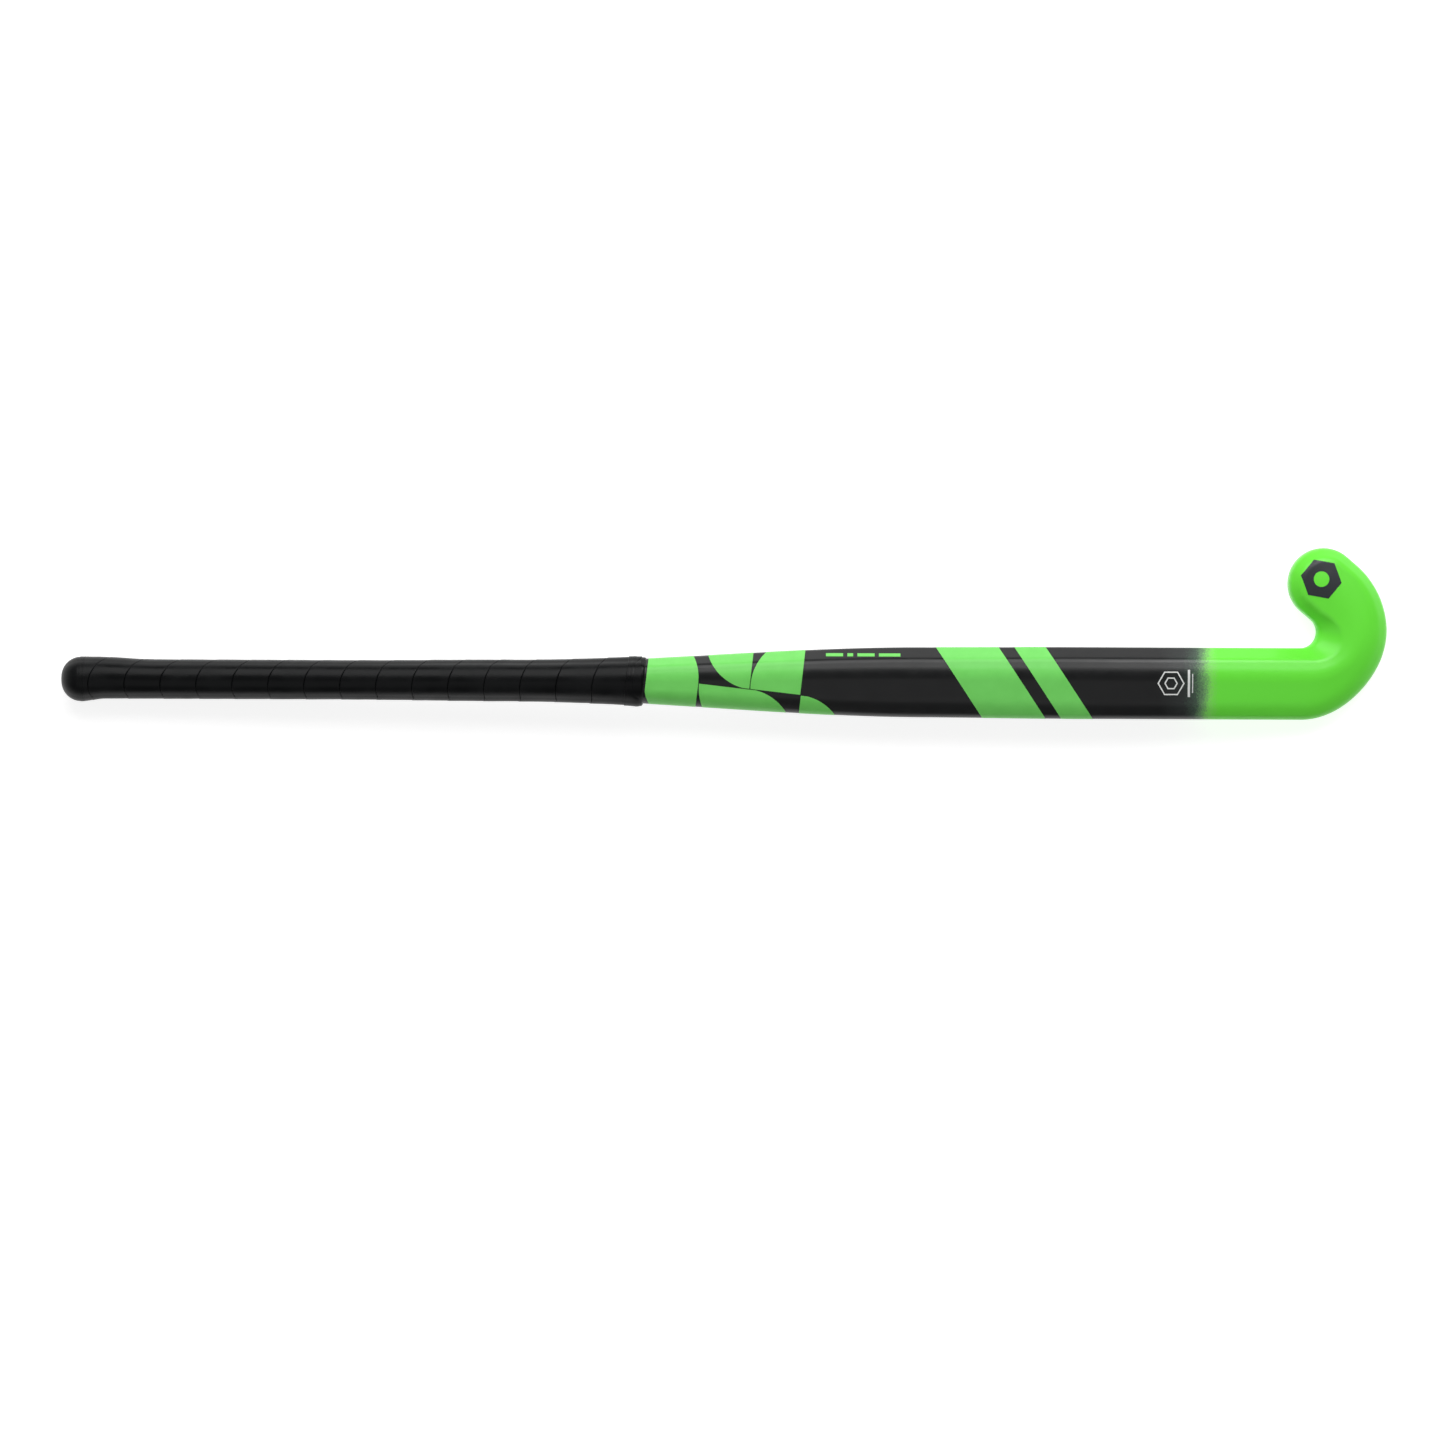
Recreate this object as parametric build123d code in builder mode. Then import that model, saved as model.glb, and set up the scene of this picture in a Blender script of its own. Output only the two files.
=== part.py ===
"""Field hockey stick: a moulded laminate body on two inner tubes and a foam head core, with a wound
handle grip and film graphics.

The stick lies face down. +X runs from the butt of the handle to the heel of the head, +Y towards the
toe, +Z up through the rounded back. The origin is under the middle of the whole stick, on the surface
that it lies on. All sizes are in millimetres.
"""

from build123d import *
import math
import os

# --- overall sizes -------------------------------------------------------------------------------
stick_length = 927.0  # butt cap to heel, a 36.5 inch stick
bow_depth = 24.0  # highest point of the face line above the surface
bow_from_heel = 220.0  # where that point is
head_flat = 76.0  # length of the flat striking face, from the heel

# --- hook of the head, seen from above -----------------------------------------------------------
crotch_radius = 11.2  # inside radius of the hook
hook_turn = 140.0  # degrees that the hook turns through
toe_reach = 9.5  # straight run between the hook and the round of the toe
heel_flattening = 2.1  # how much the round of the heel is flattened, halfway round its corner
heel_lean = 1.1  # how far the pitched heel leans out past its foot
face_trim = 0.05  # laid up proud of the striking face and ground off, which leaves it truly flat

# --- body ----------------------------------------------------------------------------------------
laminate_wall = 2.4
bond_gap = 0.1  # glue line between bonded pieces
tube_wall = 1.0
tube_end_wall = 2.0
core_gap = 1.0  # between the ends of the tubes and the head core

# --- butt plug -----------------------------------------------------------------------------------
plug_length = 30.0
plug_wall = 2.2
plug_flange = 2.0
plug_to_tubes = 1.5

# --- grip ----------------------------------------------------------------------------------------
adhesive_thickness = 0.25
tape_thickness = 1.45
lap_pitch = 24.8  # the tape advances this far with each turn
lap_step = 0.35  # height of the edge of each turn over the turn before it
cap_length = 8.5  # from the outside of the plug's flange to the end of the stick
cap_skirt = 6.5  # how far the rubber cap reaches over the handle
cap_round = 14.7  # length of the cap's domed end
pommel_height = 1.7  # how far the handle's end swells
pommel_length = 48.0
pommel_spacing = 12.0  # between the sections that shape the swelling
tape_end = 406.0  # lower end of the tape, from the butt of the stick
band_width = 14.7
band_thickness = 0.45
band_overhang = 2.3  # how far the finishing band runs past the tape

# --- film graphics -------------------------------------------------------------------------------
film_thickness = 0.12
film_gap = 0.03
film_wrap = 5.0  # height above the face at which the films stop
film_clearance = 1.2  # from the finishing band to the start of the films
petal_radius = 34.6  # the rounded side of each tile
tiles_along = 54.0  # from the start of the films to the point the tiles are turned about
tile_slant = -6.5
tile_pitch = 35.8  # from one column of tiles to the next
first_column = -17.5  # from that point back to the line between the first two columns
tile_row = -3.35  # from that point down to the line between the two rows
petal_lift = 4.8  # the third tile is rounded from this far above that line
tile_space = 0.6  # between one tile and the next
dashes_along = 149.0  # from the start of the films to the middle of the row of dashes
dash_height = 2.2
bands_along = 218.0  # from the start of the films to the wide band, in the middle of the shaft
wide_band = 44.0
narrow_band = 22.0
band_space = 11.0
band_slant = 0.66  # sideways shift of a slanted band for each millimetre across the shaft
badge_to_flat = 75.5  # from the badge to the start of the flat head
badge_across = 19.0  # hexagon near the head, across its corners
badge_line = 1.0
mark_across = 29.0  # hexagon on the toe, across its corners
mark_hole = 11.0
mark_inset = 5.0  # from the start of the round end to the middle of that hexagon

half_length = stick_length / 2
butt_x = -half_length + cap_length + plug_flange  # open end of the laminate body
grip_base = bond_gap + adhesive_thickness + bond_gap  # from the bare handle to the tape
butt_lift = grip_base + tape_thickness + pommel_height  # bare handle above the surface


# --- cross-sections ------------------------------------------------------------------------------
# Seen along the stick from the butt: the face is at the bottom and the toe side at the right. Walls
# stand up from the face, a bevel leans in from each to a shoulder, and the crown is between them.
def section(width, thickness, toe, heel, crown, radii):
    """toe and heel are (bevel width, wall height, drop from the crown to the shoulder)."""
    return dict(width=width, thickness=thickness, toe=toe, heel=heel, crown=crown, radii=radii)


handle = section(24.0, 27.0, (5.0, 18.0, 1.5), (5.0, 18.0, 1.5), 1.0, (8.5, 12, 8, 12, 8, 12))
neck = section(25.6, 26.0, (5.0, 16.5, 1.5), (5.4, 16.5, 1.7), 1.5, (7.5, 10, 7, 14, 9, 12))
shaft = section(49.0, 22.0, (8.4, 9.5, 2.4), (9.0, 11.0, 4.6), 6.0, (4.0, 4, 7, 40, 25, 8))
blade = section(50.2, 21.5, (8.4, 9.5, 2.4), (9.0, 11.0, 4.6), 6.0, (3.5, 4, 7, 40, 25, 8))
hook = section(50.0, 21.5, (17.0, 9.0, 2.0), (10.0, 11.0, 3.4), -4.0, (3.5, 8, 9, 40, 25, 9))
toe = section(50.0, 20.5, (7.5, 10.5, 2.2), (7.5, 10.5, 2.2), 0.0, (3.5, 7, 8, 60, 8, 7))

# Where the shaft takes each of those shapes, measured from the butt of the stick.
shaft_waypoints = [(0.0, handle), (201.5, handle), (313.5, neck), (603.5, shaft), (713.0, blade)]
station_spacing = 42.0
pinning_step = 1.5  # a second section this close to the end of a loft fixes its direction there
hook_waypoints = [(0.0, blade), (75.0, hook), (140.0, toe)]  # the last value is hook_turn's share
hook_steps = 15


def ease(t):
    """A smooth step from 0 to 1."""
    t = min(max(t, 0.0), 1.0)
    return t * t * (3 - 2 * t)


def mix(a, b, t):
    """A value, tuple or section that is t of the way from a to b."""
    if isinstance(a, dict):
        return {key: mix(a[key], b[key], t) for key in a}
    if isinstance(a, tuple):
        return tuple(mix(p, q, t) for p, q in zip(a, b))
    return a + (b - a) * t


def between(waypoints, place):
    """The section at a place, eased from each waypoint to the next."""
    for (start, first), (end, second) in zip(waypoints, waypoints[1:]):
        if place <= end:
            return mix(first, second, ease((place - start) / (end - start)))
    return waypoints[-1][1]


def corners(s, grow):
    """The section's corners and radii, with every side moved out by grow."""
    toe_bevel, toe_wall, toe_drop = s["toe"]
    heel_bevel, heel_wall, heel_drop = s["heel"]
    half, top = s["width"] / 2, s["thickness"]
    points = [
        (-half, 0),
        (half, 0),
        (half, toe_wall),
        (half - toe_bevel, top - toe_drop),
        (s["crown"], top),
        (heel_bevel - half, top - heel_drop),
        (-half, heel_wall),
    ]
    face_r, *others = s["radii"]
    radii = [r + grow for r in (face_r, face_r, *others)]
    moved = []
    for before, here, after in zip(points[-1:] + points, points, points[1:] + points[:1]):
        into, out = unit(before, here), unit(here, after)
        cross = into[0] * out[1] - into[1] * out[0]
        dot = into[0] * out[0] + into[1] * out[1]
        # along the bisector of the two sides' outward normals
        scale = grow / (1 + dot)
        moved.append(
            (here[0] + (into[1] + out[1]) * scale, here[1] - (into[0] + out[0]) * scale)
        )
        assert cross > 0, "a section has to stay convex"
    return moved, fitted(moved, radii)


def unit(a, b):
    length = math.dist(a, b)
    return (b[0] - a[0]) / length, (b[1] - a[1]) / length


def fitted(points, radii):
    """Each radius, limited so that the arcs leave a straight stretch on every side."""
    smallest_radius, share = 0.4, 0.46
    result = []
    count = len(points)
    for i, radius in enumerate(radii):
        before, here, after = points[i - 1], points[i], points[(i + 1) % count]
        into, out = unit(before, here), unit(here, after)
        turn = math.acos(into[0] * out[0] + into[1] * out[1])
        room = share * min(math.dist(before, here), math.dist(here, after))
        result.append(max(smallest_radius, min(radius, room / math.tan(turn / 2))))
    return result


# --- lie of the stick ----------------------------------------------------------------------------
# The face line rises from the heel along the flat head, rounds over at the bow and sinks to the butt.
rise_run = bow_from_heel - head_flat
head_pitch = 2 * math.atan(bow_depth / (2 * head_flat + rise_run))
rise_radius = rise_run / math.sin(head_pitch)
bow_x = half_length - bow_from_heel
flat_x = half_length - head_flat
face_round = hook["radii"][0]
heel_touch = face_round * (math.sin(head_pitch) + math.cos(head_pitch) - 1)
heel_touch += heel_lean * math.tan(head_pitch)  # how far the line sinks below the surface
bow_z = head_flat * math.tan(head_pitch) + rise_radius * (1 - math.cos(head_pitch)) - heel_touch
sink_run, sink = bow_x - butt_x, bow_z - butt_lift
sink_radius = (sink_run**2 + sink**2) / (2 * sink)

# The hook turns about the crotch, whose place is in the plane of the head.
crotch_x = half_length - heel_lean - (crotch_radius + hook["width"]) * math.cos(head_pitch)
crotch_y = blade["width"] / 2 + crotch_radius
toe_y = crotch_y + toe_reach * math.sin(math.radians(hook_turn))
toe_y -= (crotch_radius + toe["width"] / 2) * math.cos(math.radians(hook_turn))
axis_y = -(toe_y + toe["width"] / 2 - blade["width"] / 2) / 2  # middle of the shaft


def face_line(x):
    """Height and downward pitch of the face, in the middle of the shaft."""
    if x >= flat_x:
        return (half_length - x) * math.tan(head_pitch) - heel_touch, head_pitch
    radius = rise_radius if x > bow_x else sink_radius
    pitch = math.asin((x - bow_x) / radius)
    return bow_z - radius * (1 - math.cos(pitch)), pitch


def shaft_plane(x):
    height, pitch = face_line(x)
    return Plane(Location((x, axis_y, height), (0, math.degrees(pitch), 0)) * Plane.YZ.location)


def shaft_section(x):
    return between(shaft_waypoints, x + half_length)


crotch_height = face_line(crotch_x)[0]
head_place = Location((crotch_x, axis_y, crotch_height), (0, math.degrees(head_pitch), 0))


def hook_section(turn):
    s = dict(between(hook_waypoints, turn * hook_waypoints[-1][0] / hook_turn))
    corner = math.sin(math.pi * min(turn / 95.0, 1.0)) ** 2
    s["width"] -= heel_flattening * corner
    return s


def hook_plane(turn, reach=0.0):
    radius = crotch_radius + hook_section(turn)["width"] / 2
    a = math.radians(turn)
    x = radius * math.sin(a) + reach * math.cos(a)
    y = crotch_y - radius * math.cos(a) + reach * math.sin(a)
    return Plane(head_place * Location((x, y, 0), (0, 0, turn)) * Plane.YZ.location)


def span(start, end, spacing):
    """Places from start to end, evenly spaced, with one more close to each end."""
    if end - start < 4 * pinning_step:
        return [start, end]
    count = max(2, math.ceil((end - start) / spacing))
    even = [start + (end - start) * i / count for i in range(count + 1)]
    return [even[0], start + pinning_step, *even[1:-1], end - pinning_step, even[-1]]


def lofted(places, grow, trim=0.0):
    """A solid through sections given as (plane, section), every side moved out by its grow."""
    with BuildPart() as body:
        for (plane, shape), extra in zip(places, grow):
            points, radii = corners(shape, extra)
            points[:2] = [(u, v - trim) for u, v in points[:2]]
            with BuildSketch(plane):
                with BuildLine():
                    FilletPolyline(*points, radius=radii, close=True)
                make_face()
        loft()
    return body.part


def shaft_solid(start, end, grow, spacing=station_spacing):
    """The shaft between two places, with every side moved out by grow, a size or a function of x."""
    stations = span(start, end, spacing)
    amounts = [grow(x) if callable(grow) else grow for x in stations]
    return lofted([(shaft_plane(x), shaft_section(x)) for x in stations], amounts)


def head_solid(grow, trim=0.0):
    """The head from the start of its flat face to the round of the toe."""
    bends = [hook_turn * i / hook_steps for i in range(hook_steps + 1)]
    reaches = (toe_reach / 2, toe_reach - pinning_step, toe_reach)
    places = [(shaft_plane(x), shaft_section(x)) for x in (flat_x, flat_x + pinning_step)]
    places += [(hook_plane(turn), hook_section(turn)) for turn in bends]
    places += [(hook_plane(hook_turn, r), hook_section(hook_turn)) for r in reaches]
    bend = lofted(places, [grow] * len(places), trim)

    end = hook_plane(hook_turn, toe_reach)
    points, radii = corners(toe, grow)
    points[:2] = [(u, v - trim) for u, v in points[:2]]
    with BuildPart() as head:
        with BuildSketch(end):
            with BuildLine():
                FilletPolyline(*points, radius=radii, close=True)
            make_face()
            split(bisect_by=Plane.YZ, keep=Keep.BOTTOM)
        revolve(axis=Axis(end.origin, end.y_dir), revolution_arc=180)
        add(bend)
        if trim:
            split(bisect_by=Plane(head_place), keep=Keep.TOP)
    return head.part


def swell(x):
    """How far the end of the handle is built out under the tape."""
    return pommel_height * (1 - ease((x - butt_x) / pommel_length))


def under_tape(x):
    return grip_base + swell(x)


def tape_outside(x):
    return under_tape(x) + tape_thickness


# --- laminate body -------------------------------------------------------------------------------
inside = -laminate_wall
with BuildPart() as outer_shell:
    add(shaft_solid(butt_x, flat_x, 0.0))
    add(head_solid(0.0, face_trim))
    add(shaft_solid(butt_x - plug_flange, flat_x, inside), mode=Mode.SUBTRACT)
    add(head_solid(inside), mode=Mode.SUBTRACT)

# --- inner tubes and head core -------------------------------------------------------------------
bonded = inside - bond_gap
tube_start = butt_x + plug_length + plug_to_tubes
tube_stop = flat_x - core_gap
hollow_start = tube_start + tube_end_wall
hollow_stop = tube_stop - tube_end_wall
tube_wall_y = bond_gap / 2 + tube_wall  # from the middle of the shaft to each tube's hollow

with BuildPart() as tube_space:
    add(shaft_solid(tube_start, tube_stop, bonded))
with BuildPart() as hollow_space:
    add(shaft_solid(hollow_start, hollow_stop, bonded - tube_wall))

with BuildPart() as toe_side_hollow:
    add(hollow_space.part)
    split(bisect_by=Plane((0, axis_y + tube_wall_y, 0), z_dir=(0, 1, 0)), keep=Keep.TOP)
with BuildPart() as toe_side_tube:
    add(tube_space.part)
    split(bisect_by=Plane((0, axis_y + bond_gap / 2, 0), z_dir=(0, 1, 0)), keep=Keep.TOP)
    add(toe_side_hollow.part, mode=Mode.SUBTRACT)

with BuildPart() as heel_side_hollow:
    add(hollow_space.part)
    split(bisect_by=Plane((0, axis_y - tube_wall_y, 0), z_dir=(0, -1, 0)), keep=Keep.TOP)
with BuildPart() as heel_side_tube:
    add(tube_space.part)
    split(bisect_by=Plane((0, axis_y - bond_gap / 2, 0), z_dir=(0, -1, 0)), keep=Keep.TOP)
    add(heel_side_hollow.part, mode=Mode.SUBTRACT)

with BuildPart() as head_core:
    add(head_solid(bonded))

# --- butt end ------------------------------------------------------------------------------------
flange_start = butt_x - bond_gap - plug_flange
plug_stop = butt_x + plug_length
with BuildPart() as butt_plug:
    add(shaft_solid(flange_start, butt_x - bond_gap, 0.0))
    add(shaft_solid(flange_start, plug_stop, bonded))
    add(shaft_solid(butt_x, plug_stop + plug_wall, bonded - plug_wall), mode=Mode.SUBTRACT)

pommel_stop = butt_x + pommel_length
with BuildPart() as pommel_sleeve:
    add(shaft_solid(butt_x, pommel_stop, lambda x: under_tape(x) - bond_gap, pommel_spacing))
    add(shaft_solid(butt_x - 1, pommel_stop + 1, bond_gap), mode=Mode.SUBTRACT)

skirt_stop = butt_x + cap_skirt
dome_x = cap_round - half_length
dome_grow = tape_outside(dome_x)
dome_places = [(skirt_stop, tape_outside(skirt_stop))]
for degrees in range(0, 81, 10):
    a = math.radians(degrees)
    drawn_in = (handle["width"] / 2 + dome_grow) * (1 - math.cos(a))
    dome_places.append((dome_x - cap_round * math.sin(a), dome_grow - drawn_in))
dome_sections = [(shaft_plane(x), handle) for x, _ in dome_places]
with BuildPart() as butt_cap:
    add(lofted(dome_sections, [grow for _, grow in dome_places]))
    add(shaft_solid(flange_start - bond_gap, butt_x, bond_gap), mode=Mode.SUBTRACT)
    add(shaft_solid(butt_x - bond_gap, skirt_stop + 1, under_tape), mode=Mode.SUBTRACT)

# --- grip ----------------------------------------------------------------------------------------
tape_start = skirt_stop + bond_gap
tape_stop = tape_end - half_length
with BuildPart() as grip_adhesive:
    add(shaft_solid(pommel_stop + bond_gap, tape_stop, bond_gap + adhesive_thickness))
    add(shaft_solid(pommel_stop - 1, tape_stop + 1, bond_gap), mode=Mode.SUBTRACT)


def turn_outside(x):
    """Outside of the tape, which stands up at the start of each turn and thins towards the next."""
    along = ((x - turn_start) / lap_pitch) if x > turn_start else 0.0
    return tape_outside(x) - lap_step * along


with BuildPart() as grip_tape:
    for turn in range(math.ceil((tape_stop - tape_start) / lap_pitch)):
        turn_start = tape_start + turn * lap_pitch
        turn_stop = min(turn_start + lap_pitch, tape_stop)
        add(shaft_solid(turn_start, turn_stop, turn_outside, pommel_spacing))
    add(shaft_solid(tape_start - 1, pommel_stop, under_tape, pommel_spacing), mode=Mode.SUBTRACT)
    add(shaft_solid(pommel_stop, tape_stop + 1, grip_base), mode=Mode.SUBTRACT)

band_stop = tape_stop + band_overhang
band_start = band_stop - band_width
over_tape = tape_thickness + grip_base + bond_gap
with BuildPart() as finishing_band:
    add(shaft_solid(band_start, band_stop, over_tape + band_thickness))
    add(shaft_solid(band_start - 1, tape_stop + bond_gap, over_tape), mode=Mode.SUBTRACT)
    add(shaft_solid(tape_stop, band_stop + 1, bond_gap), mode=Mode.SUBTRACT)

# --- film graphics on the shaft ------------------------------------------------------------------
# Each film is the part of a thin skin over the shaft that lies above an outline.
first_x = band_stop + film_clearance
with BuildPart() as shaft_skin:
    add(shaft_solid(first_x, flat_x, film_gap + film_thickness))
    add(shaft_solid(first_x - 1, flat_x + 1, film_gap), mode=Mode.SUBTRACT)


def film_plane(x, slant=0.0):
    """The plane above which the films near x lie, turned by slant about the middle of the shaft."""
    height = face_line(x)[0] + film_wrap
    return Plane(Location((x, axis_y, height), (0, 0, slant)))


def tile(cells):
    """A film over one or two cells: each a rectangle, cut off outside a circle where it has one."""
    with BuildPart() as film:
        for left, right, low, high, petal in cells:
            with BuildSketch(film_plane(first_x + tiles_along, tile_slant)):
                with Locations(((left + right) / 2, (low + high) / 2)):
                    Rectangle(right - left, high - low)
                if petal:
                    with Locations(petal):
                        Circle(petal_radius, mode=Mode.INTERSECT)
            extrude(amount=2 * blade["thickness"])
        add(shaft_skin.part, mode=Mode.INTERSECT)
    return film.part


edge = blade["width"]  # any distance that reaches past the side of the shaft
column_1, column_2, column_3 = (first_column + i * tile_pitch for i in range(3))
left_1, left_2, left_3 = (x - tile_space / 2 for x in (column_1, column_2, column_3))
right_1, right_2, right_3 = (x + tile_space / 2 for x in (column_1, column_2, column_3))
above, below = tile_row + tile_space / 2, tile_row - tile_space / 2
upper_petal, lower_petal = tile_row + petal_radius, tile_row - petal_radius
with BuildPart() as tile_film_1:
    start = left_1 - tiles_along
    rounded = (start, left_1, tile_row, edge, (left_1 - petal_radius, tile_row))
    add(tile([rounded, (start, left_1, -edge, tile_row, None)]))
with BuildPart() as tile_film_2:
    add(tile([(right_1, left_2, above, edge, (column_2, upper_petal))]))
with BuildPart() as tile_film_3:
    add(tile([(right_2, left_3, above, edge, (right_2 + petal_radius, tile_row + petal_lift))]))
with BuildPart() as tile_film_4:
    near = (right_1, column_2, -edge, below, (right_1 + petal_radius, tile_row))
    add(tile([near, (column_2, left_3, -edge, below, (column_2, lower_petal))]))
with BuildPart() as tile_film_5:
    add(tile([(right_3, right_3 + petal_radius, -edge, below, (right_3, lower_petal))]))


def slanted_band(x, width):
    """A film right across the shaft, whose edges slant."""
    shift = band_slant * edge
    with BuildPart() as film:
        with BuildSketch(film_plane(x)):
            with BuildLine():
                low, high = (shift, -edge), (-shift, edge)
                Polyline(low, (shift + width, -edge), (width - shift, edge), high, close=True)
            make_face()
        extrude(amount=2 * blade["thickness"])
        add(shaft_skin.part, mode=Mode.INTERSECT)
    return film.part


with BuildPart() as wide_band_film:
    add(slanted_band(first_x + bands_along, wide_band))
with BuildPart() as narrow_band_film:
    add(slanted_band(first_x + bands_along + wide_band + band_space, narrow_band))

with BuildPart() as dash_film:
    with BuildSketch(film_plane(first_x + dashes_along)):
        with Locations((-18.0, 19.0), (4.0, 19.0), (22.0, 19.0)):
            Rectangle(12.0, dash_height)
        with Locations((-7.0, 19.0), (15.0, 19.0)):
            Rectangle(4.0, dash_height)
    extrude(amount=2 * blade["thickness"])
    add(shaft_skin.part, mode=Mode.INTERSECT)

with BuildPart() as badge_film:
    with BuildSketch(film_plane(flat_x - badge_to_flat)):
        RegularPolygon(badge_across / 2, 6)
        RegularPolygon(badge_across / 2 - badge_line, 6, mode=Mode.SUBTRACT)
        RegularPolygon(badge_across / 4, 6)
        RegularPolygon(badge_across / 4 - badge_line, 6, mode=Mode.SUBTRACT)
        with Locations((badge_across / 2 + 3.0, 0)):
            Rectangle(1.6, badge_across)
        with Locations((badge_across / 2 + 5.6, 0)):
            Rectangle(0.7, badge_across * 0.7)
    extrude(amount=2 * blade["thickness"])
    add(shaft_skin.part, mode=Mode.INTERSECT)

# --- film on the toe -----------------------------------------------------------------------------
mark_at = hook_plane(hook_turn, toe_reach + mark_inset).location
mark_plane = Plane(mark_at * Location((0, film_wrap, 0), (-90, 0, 0)))
with BuildPart() as toe_mark_film:
    with BuildSketch(mark_plane):
        RegularPolygon(mark_across / 2, 6)
        Circle(mark_hole / 2, mode=Mode.SUBTRACT)
    extrude(amount=2 * toe["thickness"])
    add(head_solid(film_gap + film_thickness), mode=Mode.INTERSECT)
    add(head_solid(film_gap), mode=Mode.SUBTRACT)

# --- files ---------------------------------------------------------------------------------------
os.makedirs("parts", exist_ok=True)
outer_shell.part.label = "outer_shell"
export_step(outer_shell.part, "parts/outer_shell.step")
toe_side_tube.part.label = "toe_side_tube"
export_step(toe_side_tube.part, "parts/toe_side_tube.step")
heel_side_tube.part.label = "heel_side_tube"
export_step(heel_side_tube.part, "parts/heel_side_tube.step")
head_core.part.label = "head_core"
export_step(head_core.part, "parts/head_core.step")
butt_plug.part.label = "butt_plug"
export_step(butt_plug.part, "parts/butt_plug.step")
pommel_sleeve.part.label = "pommel_sleeve"
export_step(pommel_sleeve.part, "parts/pommel_sleeve.step")
butt_cap.part.label = "butt_cap"
export_step(butt_cap.part, "parts/butt_cap.step")
grip_adhesive.part.label = "grip_adhesive"
export_step(grip_adhesive.part, "parts/grip_adhesive.step")
grip_tape.part.label = "grip_tape"
export_step(grip_tape.part, "parts/grip_tape.step")
finishing_band.part.label = "finishing_band"
export_step(finishing_band.part, "parts/finishing_band.step")
tile_film_1.part.label = "tile_film_1"
export_step(tile_film_1.part, "parts/tile_film_1.step")
tile_film_2.part.label = "tile_film_2"
export_step(tile_film_2.part, "parts/tile_film_2.step")
tile_film_3.part.label = "tile_film_3"
export_step(tile_film_3.part, "parts/tile_film_3.step")
tile_film_4.part.label = "tile_film_4"
export_step(tile_film_4.part, "parts/tile_film_4.step")
tile_film_5.part.label = "tile_film_5"
export_step(tile_film_5.part, "parts/tile_film_5.step")
wide_band_film.part.label = "wide_band_film"
export_step(wide_band_film.part, "parts/wide_band_film.step")
narrow_band_film.part.label = "narrow_band_film"
export_step(narrow_band_film.part, "parts/narrow_band_film.step")
dash_film.part.label = "dash_film"
export_step(dash_film.part, "parts/dash_film.step")
badge_film.part.label = "badge_film"
export_step(badge_film.part, "parts/badge_film.step")
toe_mark_film.part.label = "toe_mark_film"
export_step(toe_mark_film.part, "parts/toe_mark_film.step")
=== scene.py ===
import math

import bmesh
import bpy
import numpy as np
from mathutils import Matrix, Vector


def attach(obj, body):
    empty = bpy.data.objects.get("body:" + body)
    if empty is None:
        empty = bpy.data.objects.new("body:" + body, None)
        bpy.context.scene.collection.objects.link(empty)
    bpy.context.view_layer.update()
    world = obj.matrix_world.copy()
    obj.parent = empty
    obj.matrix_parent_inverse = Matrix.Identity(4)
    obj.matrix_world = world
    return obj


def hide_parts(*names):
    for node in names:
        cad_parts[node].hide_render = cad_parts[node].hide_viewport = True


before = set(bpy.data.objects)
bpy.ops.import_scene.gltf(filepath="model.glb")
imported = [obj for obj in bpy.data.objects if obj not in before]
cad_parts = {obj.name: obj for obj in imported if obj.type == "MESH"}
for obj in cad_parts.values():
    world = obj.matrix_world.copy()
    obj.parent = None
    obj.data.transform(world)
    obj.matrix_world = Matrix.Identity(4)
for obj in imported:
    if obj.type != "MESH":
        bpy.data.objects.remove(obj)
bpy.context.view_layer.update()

mm = 0.001


def linear(hexColour, alpha=1.0):  # sRGB hex to the linear values the shaders take
    parts = [int(hexColour[i:i + 2], 16) / 255 for i in (1, 3, 5)]
    return tuple(c / 12.92 if c <= 0.04045 else ((c + 0.055) / 1.055) ** 2.4 for c in parts) + (alpha,)


def addNode(tree, kind, links=None, values=None, **settings):
    node = tree.nodes.new(kind)
    for name, value in settings.items():
        setattr(node, name, value)
    for name, value in (values or {}).items():
        node.inputs[name].default_value = value
    for name, socket in (links or {}).items():
        tree.links.new(socket, node.inputs[name])
    return node


def newMaterial(name, **surface):
    material = bpy.data.materials.new(name)
    material.use_nodes = True
    tree = material.node_tree
    shader = tree.nodes["Principled BSDF"]
    for socket, value in surface.items():
        shader.inputs[socket.replace("_", " ")].default_value = value
    coords = addNode(tree, "ShaderNodeTexCoord").outputs["Object"]  # metres, in the stick's own frame
    return material, tree, shader, coords


def rampStops(ramp, stops):
    while len(ramp.color_ramp.elements) > 1:
        ramp.color_ramp.elements.remove(ramp.color_ramp.elements[-1])
    for i, (place, colour) in enumerate(stops):
        spot = ramp.color_ramp.elements[0] if i == 0 else ramp.color_ramp.elements.new(place)
        spot.position, spot.color = place, colour


# the stick's lines, in millimetres as it was designed
stick = dict(
    length=927.0, bowDepth=24.0, bowFromHeel=220.0, headFlat=76.0,
    crotchRadius=11.2, hookTurn=140.0, toeReach=9.5, heelFlattening=2.1, heelTurn=95.0, heelLean=1.1,
    flangeAndCap=10.5, buttLift=3.6,
)


def section(width, thickness, toe, heel, crown, radii):
    return dict(width=width, thickness=thickness, toe=toe, heel=heel, crown=crown, radii=radii)


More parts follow.
